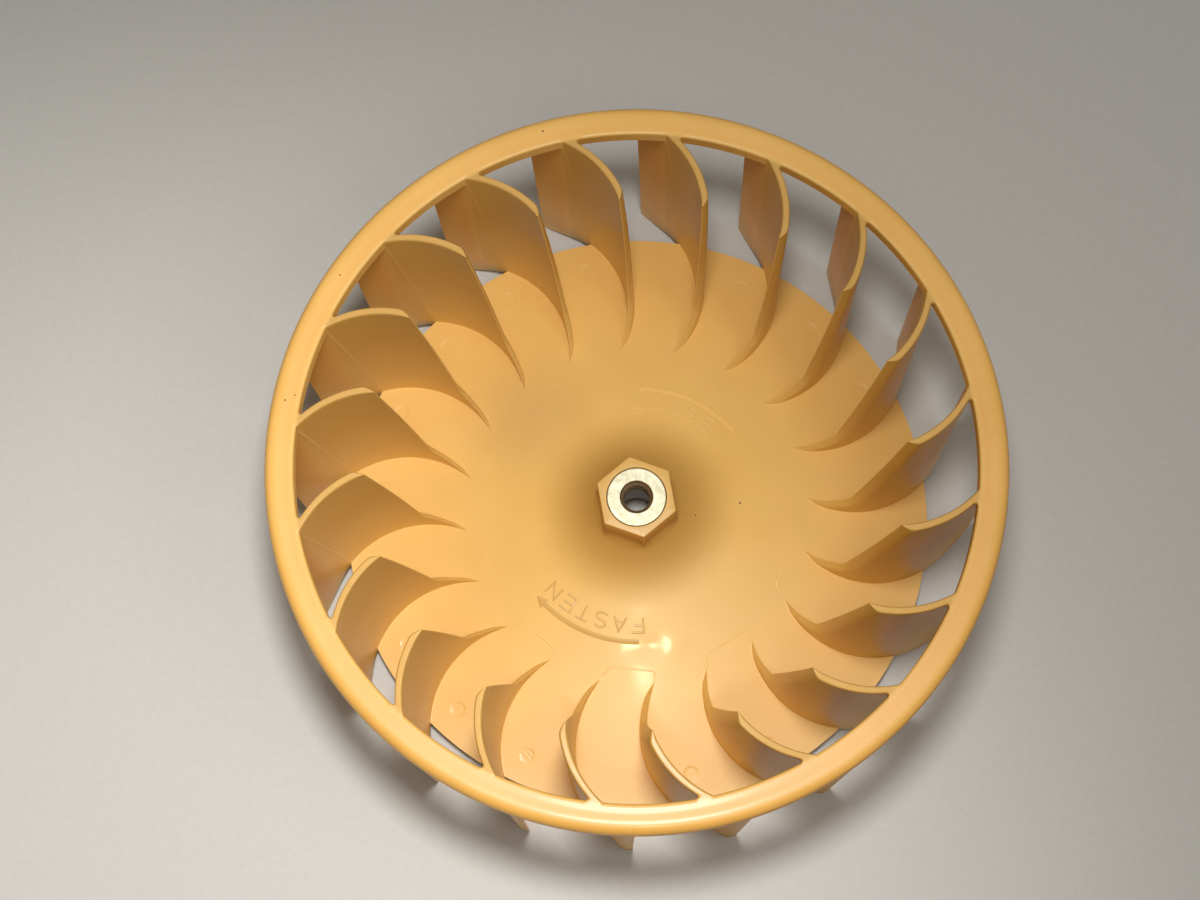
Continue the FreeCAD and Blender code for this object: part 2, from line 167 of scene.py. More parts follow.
class Shell:
    """Faces gathered as grids of points; equal points are joined at the end."""

    def __init__(self):
        self.verts, self.faces = [], []

    def grid(self, rows, close=False):
        base, n = len(self.verts), len(rows[0])
        for row in rows:
            assert len(row) == n, (len(row), n)
            self.verts.extend(row)
        for i in range(len(rows) - 1):
            for j in range(n if close else n - 1):
                a, b = base + i * n + j, base + i * n + (j + 1) % n
                self.faces.append((a, b, b + n, a + n))

    def stitch(self, outer, inner):
        """Triangles between two closed loops of points with different counts, sorted by clockwise angle."""
        base = len(self.verts)
        self.verts.extend(outer)
        mid = len(self.verts)
        self.verts.extend(inner)
        ang = lambda p: math.degrees(math.atan2(p[0], p[1])) % 360.0
        order = lambda pts: sorted(range(len(pts)), key=lambda i: ang(pts[i]))
        a, b = order(outer), order(inner)
        na, nb, i, j = len(a), len(b), 0, 0
        at = lambda pts, o, i: ang(pts[o[i % len(o)]]) + 360.0 * (i // len(o))
        while i < na or j < nb:
            if j >= nb or (i < na and at(outer, a, i + 1) <= at(inner, b, j + 1)):
                self.faces.append((base + a[i % na], base + a[(i + 1) % na], mid + b[j % nb]))
                i += 1
            else:
                self.faces.append((base + a[i % na], mid + b[(j + 1) % nb], mid + b[j % nb]))
                j += 1

    def build(self, name, smooth=32.0, merge=0.0015):
        me = bpy.data.meshes.new(name)
        me.from_pydata([tuple(c * MM for c in v) for v in self.verts], [], self.faces)
        bm = bmesh.new()
        bm.from_mesh(me)
        bmesh.ops.remove_doubles(bm, verts=bm.verts, dist=merge * MM)
        bmesh.ops.dissolve_degenerate(bm, edges=bm.edges, dist=merge * MM)
        loose = [v for v in bm.verts if not v.link_faces]
        bmesh.ops.delete(bm, geom=loose, context="VERTS")
        bmesh.ops.recalc_face_normals(bm, faces=bm.faces)
        open_edges = sum(1 for e in bm.edges if len(e.link_faces) != 2)
        if open_edges:
            print("open or shared edges in", name, open_edges)
        for f in bm.faces:
            f.smooth = True
        bm.to_mesh(me)
        bm.free()
        me.set_sharp_from_angle(angle=math.radians(smooth))
        ob = bpy.data.objects.new(name, me)
        bpy.context.scene.collection.objects.link(ob)
        return ob


N_GAP, N_FOOT, N_LOW, N_HIGH, N_EDGE, N_UNDER = 11, 3, 12, 3, 4, 2
HOLD = 0.22


def spread(a, b, n, power=1.0):
    return [a + (b - a) * (1 - (1 - i / n) ** power) for i in range(n + 1)]


def levels(r):
    """Heights of the rows on a blade's face at radius r, from the foot to where the top edge turns."""
    zd, zt = disc_top(min(r, R_RIM)), blade_top(r)
    h = zt - zd
    thick = math.radians(back(r, zt) - front(r)) * r / across(front, r)
    edge = min(EDGE, 0.3 * h, 0.55 * thick)
    foot = min(FOOT, 0.42 * h)
    z0, z2 = zd + foot, zt - edge
    z1 = UNDER if r >= R_TIP else z0 + (z2 - z0) * (UNDER - 8.6) / (LAND - EDGE - 8.6)
    hold = min(HOLD, 0.1 * (z2 - z0), 0.5 * (z2 - z1))
    return zd, zt, foot, edge, [z0] + spread(z0 + hold, z1, N_LOW - 1, 1.45) + [z1 + 0.6 * (z2 - z1), z2 - hold, z2]


def foot_points(r, side):
    """Fillet between the disc and a face, from the disc to the face."""
    zd, zt, foot, edge, zs = levels(r)
    fn = front if side < 0 else (lambda q: back(q, zd))
    k = across(fn, r)
    out = []
    for i in range(N_FOOT + 1):
        a = math.radians(90.0 * i / N_FOOT)
        th = (front(r) if side < 0 else back(r, zd + foot * (1 - math.cos(a)))) + side * math.degrees(foot * (1 - math.sin(a)) * k / r)
        out.append((r, th, zd + foot * (1 - math.cos(a))))
    return out


def top_points(r):
    """Rounded top edge of a blade at radius r, from the front face to the back face."""
    zd, zt, foot, edge, zs = levels(r)
    kf = across(front, r)
    tf, tb = front(r), back(r, zt - edge)
    thick = math.radians(tb - tf) * min(r, 95.0) / across(front, min(r, 95.0))
    inset = math.degrees(min(0.55, 0.36 * thick) * kf / r)
    out = []
    for i in range(N_EDGE + 1):
        a = math.radians(90.0 * i / N_EDGE)
        out.append((r, tf + inset * (1 - math.cos(a)), zt - edge * (1 - math.sin(a))))
    hold = min(math.degrees(0.12 * kf / r), 0.2 * (tb - tf - 2 * inset))
    out += [(r, tf + inset + hold, zt), (r, tb - inset - hold, zt)]
    for i in range(N_EDGE, -1, -1):
        a = math.radians(90.0 * i / N_EDGE)
        out.append((r, tb - inset * (1 - math.cos(a)), zt - edge * (1 - math.sin(a))))
    return out


def gap_points(r, full=False):
    """Points on the disc between one blade's back face and the next blade's front face."""
    a = foot_points(r, +1)[0]
    b = foot_points(r, -1)[0]
    t0, t1 = a[1], b[1] + STEP
    e0 = min(math.degrees(HOLD * across(lambda q: back(q, disc_top(r)), r) / r), 0.08 * (t1 - t0))
    e1 = min(math.degrees(HOLD * across(front, r) / r), 0.08 * (t1 - t0))
    mid = [t0 + e0 + (t1 - e1 - t0 - e0) * j / (N_GAP - 2) for j in range(N_GAP - 1)]
    return [(r, th, disc_top(r)) for th in [t0] + mid + [t1]]


def turned(points, k):
    return [xyz(r, th + STEP * k, z) for r, th, z in points]


R_STATIONS = [52.7, 53.3, 54.1, 55.2, 56.6, 58.2, 60.0, 61.8, 63.6, 65.0, 66.1, 66.9, 67.9, 69.0, 70.1, 71.2,
              72.3, 73.4, 74.4, 75.3, 76.0, 76.5, 77.0, 77.7, 78.5, 79.4, 80.3, 81.6, 83.2, 85.0, 86.8, 88.4,
              89.8, 91.15]


def bottom(r):
    """Lower edge of the blade outside the disc."""
    return 5.0 * max(0.0, (r_out(0.0) - r) / (r_out(0.0) - R_RIM))


def r_out(z):
    return 103.4 + 1.1 * min(1.0, max(0.0, z / UNDER))


OUT_U = [0.0, 0.1, 0.24] + [(r - R_RIM) / (104.5 - R_RIM) for r in (94.9, 95.35, 95.75, 96.02, R_IN)] + [0.46, 0.56, 0.67, 0.79, 0.90, 0.972]
I_RING = 7


def out_r(u, z):
    return R_RIM + u * (r_out(z) - R_RIM)


# Sinks and swells left in the disc's skin round the mould's inserts: x, y, radius and height in mm.
SWELLS = ((3.61, -42.65, 3.24, -0.089), (1.66, -39.93, 5.26, -0.084), (3.83, -41.69, 4.18, -0.088),
          (11.67, -41.07, 2.88, 0.090), (-2.52, -42.08, 3.64, -0.088))


def ripple(r, th):
    """Height in mm of the disc's waviness at (r, th)."""
    x, y, _ = xyz(r, th, 0.0)
    out = 0.0
    for cx, cy, rad, height in SWELLS:
        d = ((x - cx) ** 2 + (y - cy) ** 2) / (rad * rad)
        if d < 9.0:
            out += height * math.exp(-d)
    fade = min(1.0, max(0.0, (52.7 - r) / 2.0)) * min(1.0, max(0.0, (r - 30.0) / 2.0))
    return out * fade


def wheel_mesh():
    sh = Shell()
    # --- one station's row of points round a whole sector: gap, front face, top edge, back face
    per = []
    for r in R_STATIONS:
        if r == R_TAIL:
            zd = disc_top(r)
            tip = (r, TH_TAIL, zd)
            row_front = [tip] * (N_FOOT + N_LOW + N_HIGH + 1)
            row_top = [tip] * (2 * N_EDGE + 4)
            row_back = [tip] * (N_FOOT + N_LOW + N_HIGH + 1)
            row_gap = [(r, TH_TAIL + STEP * j / N_GAP, zd) for j in range(N_GAP + 1)]
        else:
            zd, zt, foot, edge, zs = levels(r)
            row_front = foot_points(r, -1) + [(r, front(r), z) for z in zs[1:]]
            row_top = top_points(r)
            row_back = [(r, back(r, z), z) for z in zs[:0:-1]] + foot_points(r, +1)[::-1]
            row_gap = gap_points(r)
        per.append((row_front, row_top, row_back, row_gap))
    for k in range(SECTORS):
        for part in range(4):
            sh.grid([turned(p[part], k) for p in per])
    # --- outside the disc's rim
    zd, zt, foot, edge, zs = levels(R_RIM)
    low_rows = [disc_top(R_RIM) + foot]
    face_z = zs

    def face_row(side, i, z):
        r = out_r(OUT_U[i], z)
        return (r, front(r) if side < 0 else back(r, z), z)

    def under_z(i, n):
        """Heights below the foot level, from the blade's lower edge up."""
        r = out_r(OUT_U[i], 0.0)
        zb = bottom(r)
        round_up = 0.0 if i == 0 else 0.45
        return spread(zb + round_up, face_z[0], n)

    last = len(OUT_U) - 1
    high = face_z
    for side in (-1, 1):
        rows = []
        for i in range(last + 1):
            zz = under_z(i, N_UNDER)[:-1] + high[: N_LOW + 1] + (high[N_LOW + 1:] if i <= I_RING else [])
            rows.append([face_row(side, i, z) for z in zz])
        low_n = N_UNDER + N_LOW + 1
        for k in range(SECTORS):
            sh.grid([turned(row[:low_n], k) for row in rows])
            sh.grid([turned(row[low_n - 1:], k) for row in rows[: I_RING + 1]])
    # top edge between the rim and the ring
    tops = [top_points(out_r(OUT_U[i], UNDER)) for i in range(I_RING + 1)]
    tops = [[(r, th, z) for r, th, z in row] for row in tops]
    for k in range(SECTORS):
        sh.grid([turned(row, k) for row in tops])
    # lower edge, then up the outer edge to the ring
    def band(i=None, z=None):
        if i is not None:
            r = out_r(OUT_U[i], 0.0)
            zb = bottom(r)
            up = 0.0 if i == 0 else 0.45
            tf, tb = front(r), back(r, zb)
            ins = math.degrees(0.45 * across(front, r) / r)
            return [face_row(-1, i, zb + up), (r, tf + ins, zb), (r, (tf + tb) / 2, zb), (r, tb - ins, zb), face_row(1, i, zb + up)]
        r0, r1 = out_r(OUT_U[last], z), r_out(z)
        tf, tb = front(r1), back(r1, z)
        ins = math.degrees(0.45 * across(front, r1) / r1)
        return [(r0, front(r0), z), (r1, tf + ins, z), (r1, (tf + tb) / 2, z), (r1, tb - ins, z), (r0, back(r0, z), z)]

    zz = under_z(last, N_UNDER)[:-1] + high[: N_LOW + 1]
    bands = [band(i=i) for i in range(last + 1)]
    # corner row: keeps the face ends, and drops the middle points to the lowest outer corner
    corner = band(z=zz[0])
    corner = [bands[-1][0]] + [(r_out(0.0) - 0.12, th, 0.12) for _, th, _ in band(z=0.0)[1:4]] + [bands[-1][4]]
    bands.append(corner)
    bands += [[bands[last][0]] + band(z=zz[0])[1:4] + [bands[last][4]]] + [band(z=z) for z in zz[1:]]
    for k in range(SECTORS):
        sh.grid([turned(row, k) for row in bands])
    # --- disc rim
    gap = gap_points(R_RIM)
    side_back = foot_points(R_RIM, +1)[::-1]
    side_front = foot_points(R_RIM, -1)
    rim_top = side_back + gap[1:-1] + [(r, th + STEP, z) for r, th, z in side_front]
    assert len(rim_top) == 2 * N_FOOT + N_GAP + 1, len(rim_top)
    z_low = 5.0
    zb_rows = under_z(0, N_UNDER)
    rows = []
    for j in range(N_UNDER + 1):
        f = j / N_UNDER
        row = []
        for n, (r, th, z) in enumerate(rim_top):
            if n == 0:
                th = back(R_RIM, zb_rows[j])
            elif n == len(rim_top) - 1:
                th = front(R_RIM) + STEP
            row.append((r, th, z_low + (z - z_low) * f))
        rows.append(row)
    for k in range(SECTORS):
        sh.grid([turned(row, k) for row in rows])
    rim_low = [turned(rows[0][:-1] + [(r, th + STEP, z) for r, th, z in bands[0][:-1]], k) for k in range(SECTORS)]
    # --- ring: its underside between the blades
    def ring_gap(i, z):
        a, b = face_row(1, i, z), face_row(-1, i, z)
        return [(a[0], a[1] + (b[1] + STEP - a[1]) * j / (N_GAP + 2 * N_FOOT), z) for j in range(N_GAP + 2 * N_FOOT + 1)]

    for k in range(SECTORS):
        sh.grid([turned(ring_gap(i, UNDER), k) for i in range(I_RING, last + 1)])
    # inner wall of the ring, with a small lip under its upper edge
    drop = 0.75
    wall_z = high[N_LOW:]
    for k in range(SECTORS):
        sh.grid([turned([(R_IN + (0.0 if n in (0, len(wall_z) - 1) else 0.0), th, z) for _, th, _ in ring_gap(I_RING, z)], k)
                 for n, z in enumerate(wall_z)])
    top = top_points(R_IN)
    z_edge = LAND - EDGE
    col, colz, colw = [], [], []
    for r, th, z in ring_gap(I_RING, z_edge)[:-1]:
        col.append(th); colz.append(z_edge); colw.append(1.0)
    for r, th, z in top[:-1]:
        col.append(th + STEP); colz.append(z); colw.append(1.0 - (z - z_edge) / EDGE)
    loops = [[(R_IN, th, z) for th, z in zip(col, colz)],
             [(R_IN, th, z + (LAND - drop - z_edge) * w) for th, z, w in zip(col, colz, colw)],
             [(R_IN + 0.06, th, LAND - 0.46 * w) for th, w in zip(col, colw)],
             [(R_IN + 0.22, th, LAND - 0.22 * w) for th, w in zip(col, colw)],
             [(R_IN + 0.46, th, LAND - 0.065 * w) for th, w in zip(col, colw)],
             [(R_IN + 0.80, th, LAND) for th in col]]
    for r, z in ((97.4, 90.52), (98.3, 90.53), (99.2, 90.57), (100.2, 90.66), (101.0, 90.72), (101.6, 90.74), (102.1, 90.72)):
        loops.append([(r, th, z) for th in col])
    for a in (12, 24, 36, 48, 60, 72, 82, 90):
        loops.append([(R_OUT - 2.55 + 2.55 * math.sin(math.radians(a)), th, 90.72 - 2.7 + 2.7 * math.cos(math.radians(a))) for th in col])
    loops.append([(R_OUT, th, 87.3) for th in col])
    loops.append([(R_OUT, th, 86.15) for th in col])
    # the last loop joins the underside: gap points at the blades' outer station, then the blades' outer edges
    base = ring_gap(last, UNDER)[:-1] + [(r, th + STEP, z) for r, th, z in band(z=UNDER)[:-1]]
    whole = lambda row: [p for k in range(SECTORS) for p in turned(row, k)]
    sh.grid([whole(row) for row in loops], close=True)
    sh.stitch(whole(loops[-1]), whole(base))
    # --- inner disc, flare and six-sided hub, turned by the same columns as the gaps
    cols = [TH_TAIL + STEP / N_GAP * j for j in range(SECTORS * N_GAP)]
    inner = []
    for r in (52.7, 51.6, 50.5, 49.6, 48.7, 47.8, 46.9, 46.0, 45.1, 44.2, 43.3, 42.4, 41.5, 40.6, 39.7, 38.5, 37.0, 35.0, 32.5, 30.5,
              29.2, 28.4, 27.0, 25.0, 22.5, 20.0, 17.5, 15.5, 14.0):
        inner.append([(r, th, disc_top(r) + ripple(r, th)) for th in cols])
    a_flat = 11.0

    def hexr(th, off=0.0, rc=0.55):
        d = ((th + 8.65 + 30.0) % 60.0) - 30.0
        a = a_flat + off
        flat = a / math.cos(math.radians(30.0 - abs(d)))
        dc = (a - rc) / math.cos(math.radians(30.0))
        s = rc * rc - (dc * math.sin(math.radians(d))) ** 2
        return min(flat, dc * math.cos(math.radians(d)) + math.sqrt(s)) if s > 0 else flat

    # the flare runs up into the six flats through a soft fillet
    lean = (disc_top(14.0) - disc_top(14.4)) / 0.4
    for t in (0.12, 0.26, 0.40, 0.54, 0.68, 0.82, 0.92, 1.0):
        row = []
        for th in cols:
            b = hexr(th, 0.0, 1.4 - 0.3 * t)
            z0, z2 = disc_top(14.0), 28.4
            z1 = z0 + lean * (14.0 - b)
            u, v, w = (1.0 - t) ** 2, 2.0 * t * (1.0 - t), t * t
            row.append((u * 14.0 + (v + w) * b, th, u * z0 + v * z1 + w * z2))
        inner.append(row)
    for off, z, rc in ((0.0, 29.4, 1.0), (0.0, 31.0, 0.7), (0.0, 37.3, 0.55), (-0.04, 37.45, 0.55), (-0.12, 37.56, 0.5), (-0.24, 37.6, 0.45)):
        inner.append([(hexr(th, off, rc), th, z) for th in cols])
    for r, z in ((9.45, 37.6), (9.26, 37.6), (9.19, 37.55), (9.15, 37.4), (9.15, 36.6), (9.03, 36.4), (9.03, 27.6)):
        inner.append([(r, th, z) for th in cols])
    inner.append([(6.45, th, 27.6) for th in cols])
    inner.append([(6.45, th, 5.3) for th in cols])
    inner.append([(7.35, th, 4.4) for th in cols])
    inner.append([(12.6, th, 4.4) for th in cols])
    inner.append([(13.0, th, 4.8) for th in cols])
    inner.append([(13.55, th, 17.6) for th in cols])
    inner.append([(14.1, th, 18.5) for th in cols])
    under = circle_through((18.5, 17.9), (23.5, 15.9), (29.0, 14.25))

    def under_disc(r):
        if r >= 29.0:
            return disc_top(r) - 2.4
        d = math.sqrt(under[2] ** 2 - (r - under[0]) ** 2)
        return under[1] - d if under[1] > 16 else under[1] + d

    for r in (18.5, 20.5, 23.5, 26.5, 29.0, 35.0, 45.0, 57.0, 70.0, 82.0, 90.6):
        inner.append([(r, th, under_disc(r)) for th in cols])
    flat_loop = lambda row: [xyz(*p) for p in row]
    sh.grid([flat_loop(row) for row in inner], close=True)
    rim_loop = [p for part in rim_low for p in part]
    sh.stitch(rim_loop, flat_loop(inner[-1]))
    return sh


wheel = wheel_mesh().build("wheel_moulding")
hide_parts("blower_wheel")
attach(wheel, "root")


# ------------------------------------------------------------------ marks left by the mould
def pit_depth(k, dx, dy):
    """Depth in mm of an ejector pin's print at (dx, dy) from its centre."""
    d = math.hypot(dx, dy)
    edge = min(1.0, max(0.0, (2.3 - d) / 0.42))
    edge = edge * edge * (3 - 2 * edge)
    depth = 0.12
    if k == 11:
        bar = 0.5 + 0.5 * math.sin((dx + 0.9 * dy) * 2 * math.pi / 1.75)
        depth = 0.05 + 0.035 * bar
    return depth * edge


def press_pits(ob, ks, r0, turn):
    """Press a round ejector print into the disc in each gap of the list."""
    me = ob.data
    bm = bmesh.new()
    bm.from_mesh(me)
    centres = {k: Vector(xyz(r0, turn + STEP * k, 0.0)[:2]) for k in ks}
    for k, c in centres.items():
        near = []
        for f in bm.faces:
            m = f.calc_center_median()
            if f.normal.z > 0.9 and m.z < 0.012 and (Vector((m.x, m.y)) / MM - c).length < 3.3:
                near.append(f)
        edges = {e for f in near for e in f.edges}
        bmesh.ops.subdivide_edges(bm, edges=list(edges), cuts=6, use_grid_fill=True)
    for v in bm.verts:
        if v.co.z > 0.012 or v.normal.z < 0.5:
            continue
        p = Vector((v.co.x, v.co.y)) / MM
        for k, c in centres.items():
            d = p - c
            if d.length < 2.4:
                u = c.normalized()
                v.co.z -= pit_depth(k, d.x, d.y) * MM
                break
    bm.to_mesh(me)
    bm.free()


PITS = [k for k in range(SECTORS) if k not in (0, 10)]
press_pits(wheel, PITS, 82.3, 7.69)


def ridge(sh, path, half, height, sink=0.25, closed=False, place=None):
    """A raised stroke with softened edges along a path of (r, theta) on the disc.
    half is one number or a list, one for each point."""
    place = place or (lambda x, y, h: (x, y, disc_top(math.hypot(x, y)) + h))
    pts = [Vector(xyz(r, th, 0.0)[:2]) for r, th in path]
    n = len(pts)
    halves = half if isinstance(half, list) else [half] * n
    rings = []
    for i, p in enumerate(pts):
        a = pts[i] - pts[i - 1] if (i > 0 or closed) else pts[1] - pts[0]
        b = pts[(i + 1) % n] - p if (i < n - 1 or closed) else a
        a, b = a.normalized(), b.normalized()
        t = (a + b).normalized() if (a + b).length > 1e-6 else a
        side = Vector((t.y, -t.x))
        stretch = min(2.0, 1.0 / max(0.35, t.dot(a)))
        w = halves[i] * stretch
        row = []
        for u, h in ((-1.0, -sink), (-1.0, height * 0.45), (-1.0 + min(0.6, 0.12 / halves[i]), height),
                     (1.0 - min(0.6, 0.12 / halves[i]), height), (1.0, height * 0.45), (1.0, -sink)):
            q = p + side * (w * u)
            row.append(place(q.x, q.y, h))
        rings.append(row)
    if closed:
        rings.append(rings[0])
    sh.grid(rings, close=True)
    if not closed:
        for row in (rings[0], rings[-1]):
            base = len(sh.verts)
            sh.verts.extend(row)
            sh.faces.append(tuple(range(base, base + len(row))))


def arc_path(r, a, b, step=1.0):
    n = max(1, int(abs(b - a) / step))
    return [(r, a + (b - a) * i / n) for i in range(n + 1)]


def bow(cx, cy, rx, ry, a0, a1, n=14):
    return [(cx + rx * math.cos(math.radians(a0 + (a1 - a0) * i / n)), cy + ry * math.sin(math.radians(a0 + (a1 - a0) * i / n)))
            for i in range(n + 1)]


STROKES = {
    "A": [[(0, 0), (0.5, 1), (1, 0)], [(0.2, 0.36), (0.8, 0.36)]],
    "E": [[(1, 1), (0, 1), (0, 0), (1, 0)], [(0, 0.52), (0.88, 0.52)]],
    "F": [[(1, 1), (0, 1), (0, 0)], [(0, 0.52), (0.86, 0.52)]],
    "L": [[(0, 1), (0, 0), (1, 0)]],
    "N": [[(0, 0), (0, 1), (1, 0), (1, 1)]],
    "O": [bow(0.5, 0.5, 0.5, 0.5, 0, 345, 23)],
    "S": [bow(0.5, 0.75, 0.44, 0.25, 25, 270, 14) + bow(0.5, 0.25, 0.48, 0.25, 80, -155, 14)],
    "T": [[(0, 1), (1, 1)], [(0.5, 1), (0.5, 0)]],
}


def word(sh, letters, height=0.16):
    for ch, mid, wide in letters:
        for line in STROKES[ch]:
            path = []
            for i, (u, v) in enumerate(line):
                path.append((33.5 + 4.45 * v, mid + (u - 0.5) * wide))
            fine = [path[0]]
            for a, b in zip(path, path[1:]):
                n = 3 if abs(a[1] - b[1]) > 3.0 else 1
                fine += [(a[0] + (b[0] - a[0]) * i / n, a[1] + (b[1] - a[1]) * i / n) for i in range(1, n + 1)]
            ridge(sh, fine, 0.35, height, closed=(ch == "O"))


def arrow(sh, tail, neck, tip, r):
    s = 1.0 if tip > tail else -1.0
    path = arc_path(r, tail, neck, 1.2) + [(r, neck + 0.02 * s)]
    halves = [0.76] * (len(path) - 1) + [1.8]
    for i in range(1, 7):
        path.append((r, neck + 0.02 * s + (tip - neck) * i / 6))
        halves.append(1.8 * (1 - i / 6) + 0.03)
    ridge(sh, path, halves, 0.18)


marks = Shell()
arrow(marks, 180.4, 226.1, 230.9, 40.75)
arrow(marks, 50.9, 4.8, 0.9, 40.2)
word(marks, [("F", 181.0, 5.6), ("A", 190.0, 6.4), ("S", 199.4, 5.9), ("T", 208.7, 5.8), ("E", 217.9, 5.9), ("N", 227.1, 5.8)])
word(marks, [("L", 2.6, 5.4), ("O", 11.2, 6.2), ("O", 20.8, 6.2), ("S", 30.4, 5.9), ("E", 39.6, 5.8), ("N", 48.6, 5.8)], 0.09)
turning_marks = marks.build("turning_marks", smooth=40.0)

seams = Shell()
# outline of the mould's inserts: a short link from each tail tip and a line between two tails
for k in range(1, SECTORS, 2):
    a, b = TH_TAIL + STEP * k, TH_TAIL + STEP * (k - 1)
    pa, pb = Vector(xyz(48.9, a - 2.4, 0)[:2]), Vector(xyz(49.9, b - 0.2, 0)[:2])
    pol = lambda v: (v.length, math.degrees(math.atan2(v.x, v.y)) % 360.0)
    line = [pol(pa + (pb - pa) * i / 6) for i in range(7)]
    line = [(r, th if abs(th - line[0][1]) < 180 else th - 360.0) for r, th in line]
    start = (52.2, a - 0.25)
    if line[0][1] - start[1] > 180:
        start = (start[0], start[1] + 360.0)
    plain = (pa.y + pb.y) / 2 < -15.0  # the near links stand a little prouder
    ridge(seams, [start] + line, 0.27 if plain else 0.13, 0.09 if plain else 0.045)
    ridge(seams, [line[-1], (52.3, line[-1][1] + 0.15)], 0.24 if plain else 0.12, 0.08 if plain else 0.04)
# parting line down each blade's hollow face, from the ring's inner edge to the disc's rim
for k in range(SECTORS):
    rows = []
    for i in range(13):
        t = i / 12
        z = 85.6 - 76.4 * t
        r = 96.25 - 5.1 * t
        proud = 0.12 - 0.07 * t
        row = []
        for du, dn in ((-0.22, -0.05), (-0.09, proud), (0.09, proud), (0.22, -0.05)):
            rr = r + du
            row.append((rr, front(rr) - math.degrees(dn * across(front, rr) / rr), z))
        rows.append(turned(row, k))
    seams.grid(rows, close=True)
    for row in (rows[0], rows[-1]):
        base = len(seams.verts)
        seams.verts.extend(row)
        seams.faces.append(tuple(range(base, base + 4)))
# witness across each blade's top edge
for k in range(SECTORS):
    r = 86.7 + 0.5 * math.sin(2.3 * k)
    tf, tb = front(r), back(r, LAND)
    rows = []
    for i in range(6):
        t = i / 5
        th = tf + (tb - tf) * (0.1 + 0.8 * t)
        rows.append(turned([(r - 0.12, th, LAND - 0.05), (r - 0.05, th, LAND + 0.05), (r + 0.05, th, LAND + 0.05), (r + 0.12, th, LAND - 0.05)], k))
    seams.grid(rows, close=True)
    for row in (rows[0], rows[-1]):
        base = len(seams.verts)
        seams.verts.extend(row)
        seams.faces.append(tuple(range(base, base + 4)))
seam_marks = seams.build("mould_seams", smooth=40.0)

# a few dark specks of dirt pressed into the skin: radius, clockwise angle, size
specks = Shell()
for r, th, size in ((100.9, 345.9, 0.34), (100.3, 303.8, 0.26), (100.6, 281.0, 0.30), (98.1, 282.1, 0.24), (32.2, 86.7, 0.40), (18.2, 98.5, 0.36)):
    x, y, _ = xyz(r, th, 0.0)
    z = disc_top(r) if r < R_RIM else 90.7 if r > 99.5 else 90.53
    dome = lambda rad, h, dip=0.0: [(x + rad * math.sin(math.radians(a)) * (1.0 + 0.2 * math.cos(math.radians(2 * a))), y + rad * math.cos(math.radians(a)), z + h) for a in range(0, 360, 30)]
    loops = [dome(size * 0.9, -0.2), dome(size, -0.02), dome(size * 0.85, 0.025), dome(size * 0.4, 0.045)]
    specks.grid(loops, close=True)
    for row in (loops[0], loops[-1]):
        base = len(specks.verts)
        specks.verts.extend(row)
        specks.faces.append(tuple(range(base, base + len(row))))
dirt = specks.build("dirt_specks", smooth=40.0)
for piece in (turning_marks, seam_marks, dirt):
    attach(piece, "root")


# ------------------------------------------------------------------ threaded insert
def insert_mesh():
    sh = Shell()
    n = 120
    z0, z1, pitch = 27.6, 37.6, 1.5875
    cols = [360.0 * j / n for j in range(n)]
    rows = []

    def bore(th, z):
        turn = (z / pitch + th / 360.0) % 1.0
        v = abs(2.0 * turn - 1.0)
        v = min(1.0, max(0.0, (v - 0.125) / 0.625))
        r = 4.02 + 0.74 * v
        return max(r, 5.12 - (z1 - z) * 0.95, 5.0 - (z - z0) * 0.95)

    m = 96
    for i in range(m + 1):
        z = z0 + (z1 - z0) * i / m
        rows.append([xyz(bore(th, z), th, z) for th in cols])
    ring = lambda r, z: [xyz(r, th, z) for th in cols]
    for r, z in ((5.2, z1), (5.4, z1), (7.0, z1), (8.62, z1), (8.78, z1), (8.88, z1 - 0.05), (8.92, z1 - 0.2), (8.92, z1 - 0.9), (8.97, z1 - 1.1)):
        rows.append(ring(r, z))
    for r, z in ((8.97, 33.6), (8.3, 33.6), (8.3, 31.6), (8.97, 31.6), (8.97, 27.8), (8.8, z0), (5.2, z0)):
        rows.append(ring(r, z))
    rows.append(rows[0])
    sh.grid(rows, close=True)
    return sh


insert = insert_mesh().build("insert_sleeve", smooth=28.0)
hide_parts("threaded_insert")
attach(insert, "root")


# ------------------------------------------------------------------ materials
def nodes_of(name):
    m = bpy.data.materials.new(name)
    m.use_nodes = True
    nt = m.node_tree
    nt.nodes.clear()
    out = nt.nodes.new("ShaderNodeOutputMaterial")
    b = nt.nodes.new("ShaderNodeBsdfPrincipled")
    nt.links.new(b.outputs["BSDF"], out.inputs["Surface"])
    return m, nt, b


def node(nt, kind, **kw):
    n = nt.nodes.new(kind)
    for k, v in kw.items():
        if k.startswith("in_"):
            n.inputs[k[3:].replace("_", " ")].default_value = v
        else:
            setattr(n, k, v)
    return n


